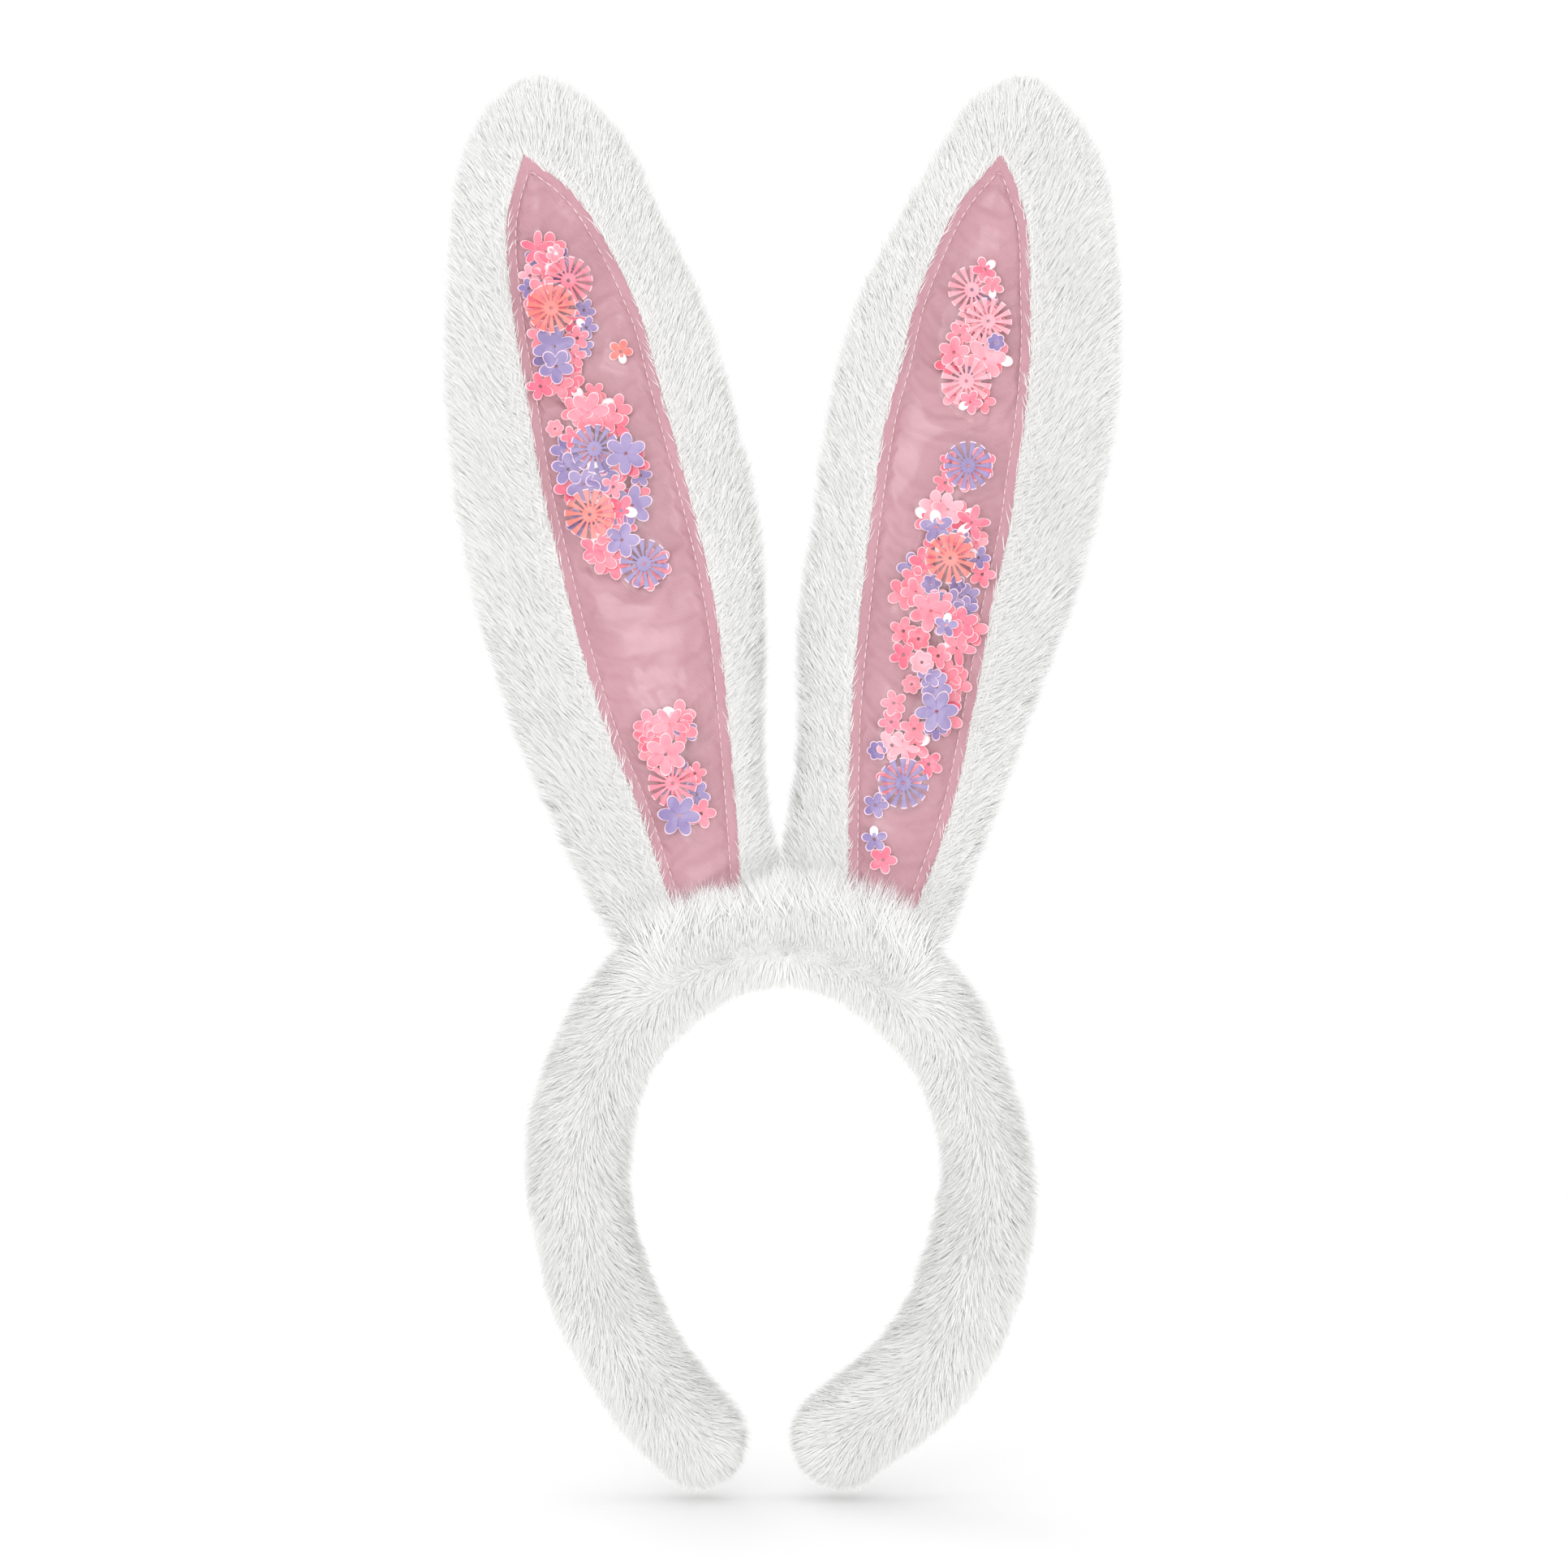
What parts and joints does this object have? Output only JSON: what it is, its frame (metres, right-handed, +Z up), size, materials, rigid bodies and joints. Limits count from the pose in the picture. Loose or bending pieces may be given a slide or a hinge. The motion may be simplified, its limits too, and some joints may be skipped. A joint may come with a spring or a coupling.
{
  "type": "animal ears headband",
  "caption": "Plush headband with tall wired rabbit ears, satin inner panels and loose flower sequins under clear sewn windows, on a flexible stuffed hoop.",
  "frame": {"origin": "middle of the hoop's inner edge, where it rests on the crown of the head", "axes": "+Z up through the ears, +X across the ears, -Y the side with the satin panels"},
  "size_m": [0.2041, 0.0276, 0.4279],
  "materials": {
    "plush": "short dense pile, matte",
    "wadding": "lofted fibre fill, matte",
    "core_plastic": "moulded, semi-matte",
    "wire": "drawn bright wire",
    "satin": "satin weave with soft sheen",
    "window_film": "clear soft vinyl, glossy",
    "thread": "polyester sewing thread",
    "sequin_pink": "pearly transparent film",
    "sequin_coral": "pearly transparent film",
    "sequin_violet": "pearly iridescent film"
  },
  "bodies": {
    "band_crown": {"band_core_crown": "core_plastic", "wadding_crown": "wadding", "plush_sleeve_crown": "plush"},
    "band_left": {"band_core_left": "core_plastic", "wadding_left": "wadding", "plush_sleeve_left": "plush"},
    "band_right": {"band_core_right": "core_plastic", "wadding_right": "wadding", "plush_sleeve_right": "plush"},
    "ear_foot_left": {"wire_foot_left": "wire"},
    "ear_lower_left": {"plush_back_lower_left": "plush", "batting_lower_left": "wadding", "plush_front_lower_left": "plush", "satin_lower_left": "satin", "window_lower_left": "window_film", "topstitch_lower_left": "thread", "wire_leg_outer_left": "wire", "wire_leg_inner_left": "wire", "sequin_cluster_middle_left": "sequin_pink", "sequin_wheel_2_left": "sequin_violet", "sequin_wheel_3_left": "sequin_pink", "sequin_wheel_4_left": "sequin_coral"},
    "ear_upper_left": {"plush_back_upper_left": "plush", "batting_upper_left": "wadding", "plush_front_upper_left": "plush", "satin_upper_left": "satin", "window_upper_left": "window_film", "topstitch_upper_left": "thread", "wire_arch_left": "wire", "sequin_cluster_top_left": "sequin_pink", "sequin_flower_stray_left": "sequin_pink", "sequin_wheel_1_left": "sequin_coral"},
    "loose_sequins_left": {"sequin_cluster_low_left": "sequin_pink", "sequin_wheel_5_left": "sequin_violet"},
    "ear_foot_right": {"wire_foot_right": "wire"},
    "ear_lower_right": {"plush_back_lower_right": "plush", "batting_lower_right": "wadding", "plush_front_lower_right": "plush", "satin_lower_right": "satin", "window_lower_right": "window_film", "topstitch_lower_right": "thread", "wire_leg_outer_right": "wire", "wire_leg_inner_right": "wire", "sequin_cluster_middle_right": "sequin_pink", "sequin_cluster_low_right": "sequin_pink", "sequin_pair_base_right": "sequin_pink", "sequin_wheel_3_right": "sequin_pink", "sequin_wheel_4_right": "sequin_coral", "sequin_wheel_5_right": "sequin_violet"},
    "ear_upper_right": {"plush_back_upper_right": "plush", "batting_upper_right": "wadding", "plush_front_upper_right": "plush", "satin_upper_right": "satin", "window_upper_right": "window_film", "topstitch_upper_right": "thread", "wire_arch_right": "wire"},
    "loose_sequins_right": {"sequin_cluster_top_right": "sequin_pink", "sequin_wheel_1_right": "sequin_coral", "sequin_wheel_2_right": "sequin_violet"}
  },
  "joints": [
    {"name": "arm_flex_left", "type": "hinge", "parent": "band_crown", "child": "band_left", "pos_m": [-0.0465, 0, -0.00671], "axis": [0, 1, 0], "range_deg": [-1.5, 14], "stiffness_Nm_per_rad": 2},
    {"name": "arm_flex_right", "type": "hinge", "parent": "band_crown", "child": "band_right", "pos_m": [0.0465, 0, -0.00943], "axis": [0, -1, 0], "range_deg": [-1.5, 14], "stiffness_Nm_per_rad": 2},
    {"name": "ear_splay_left", "type": "hinge", "parent": "band_crown", "child": "ear_foot_left", "pos_m": [-0.0295, 0, 0.00782], "axis": [0, -1, 0], "range_deg": [-1, 8]},
    {"name": "ear_fold_left", "type": "hinge", "parent": "ear_foot_left", "child": "ear_lower_left", "pos_m": [-0.03301, 0, 0.03296], "axis": [0.9857, 0, 0.1685], "range_deg": [-45, 50]},
    {"name": "ear_bend_left", "type": "hinge", "parent": "ear_lower_left", "child": "ear_upper_left", "pos_m": [-0.05836, 0, 0.18131], "axis": [0.9857, 0, 0.1685], "range_deg": [-30, 50]},
    {"name": "sequin_slide_left", "type": "slide", "parent": "ear_lower_left", "child": "loose_sequins_left", "axis": [-0.1685, 0, 0.9857], "range_m": [-0.0015, 0.012]},
    {"name": "ear_splay_right", "type": "hinge", "parent": "band_crown", "child": "ear_foot_right", "pos_m": [0.0295, 0, 0.00685], "axis": [0, 1, 0], "range_deg": [-1, 8]},
    {"name": "ear_fold_right", "type": "hinge", "parent": "ear_foot_right", "child": "ear_lower_right", "pos_m": [0.03251, 0, 0.03296], "axis": [0.9857, 0, -0.1685], "range_deg": [-45, 50]},
    {"name": "ear_bend_right", "type": "hinge", "parent": "ear_lower_right", "child": "ear_upper_right", "pos_m": [0.05584, 0, 0.16948], "axis": [0.9857, 0, -0.1685], "range_deg": [-30, 50]},
    {"name": "sequin_slide_right", "type": "slide", "parent": "ear_upper_right", "child": "loose_sequins_right", "axis": [0.1685, 0, 0.9857], "range_m": [-0.0015, 0.009]}
  ]
}
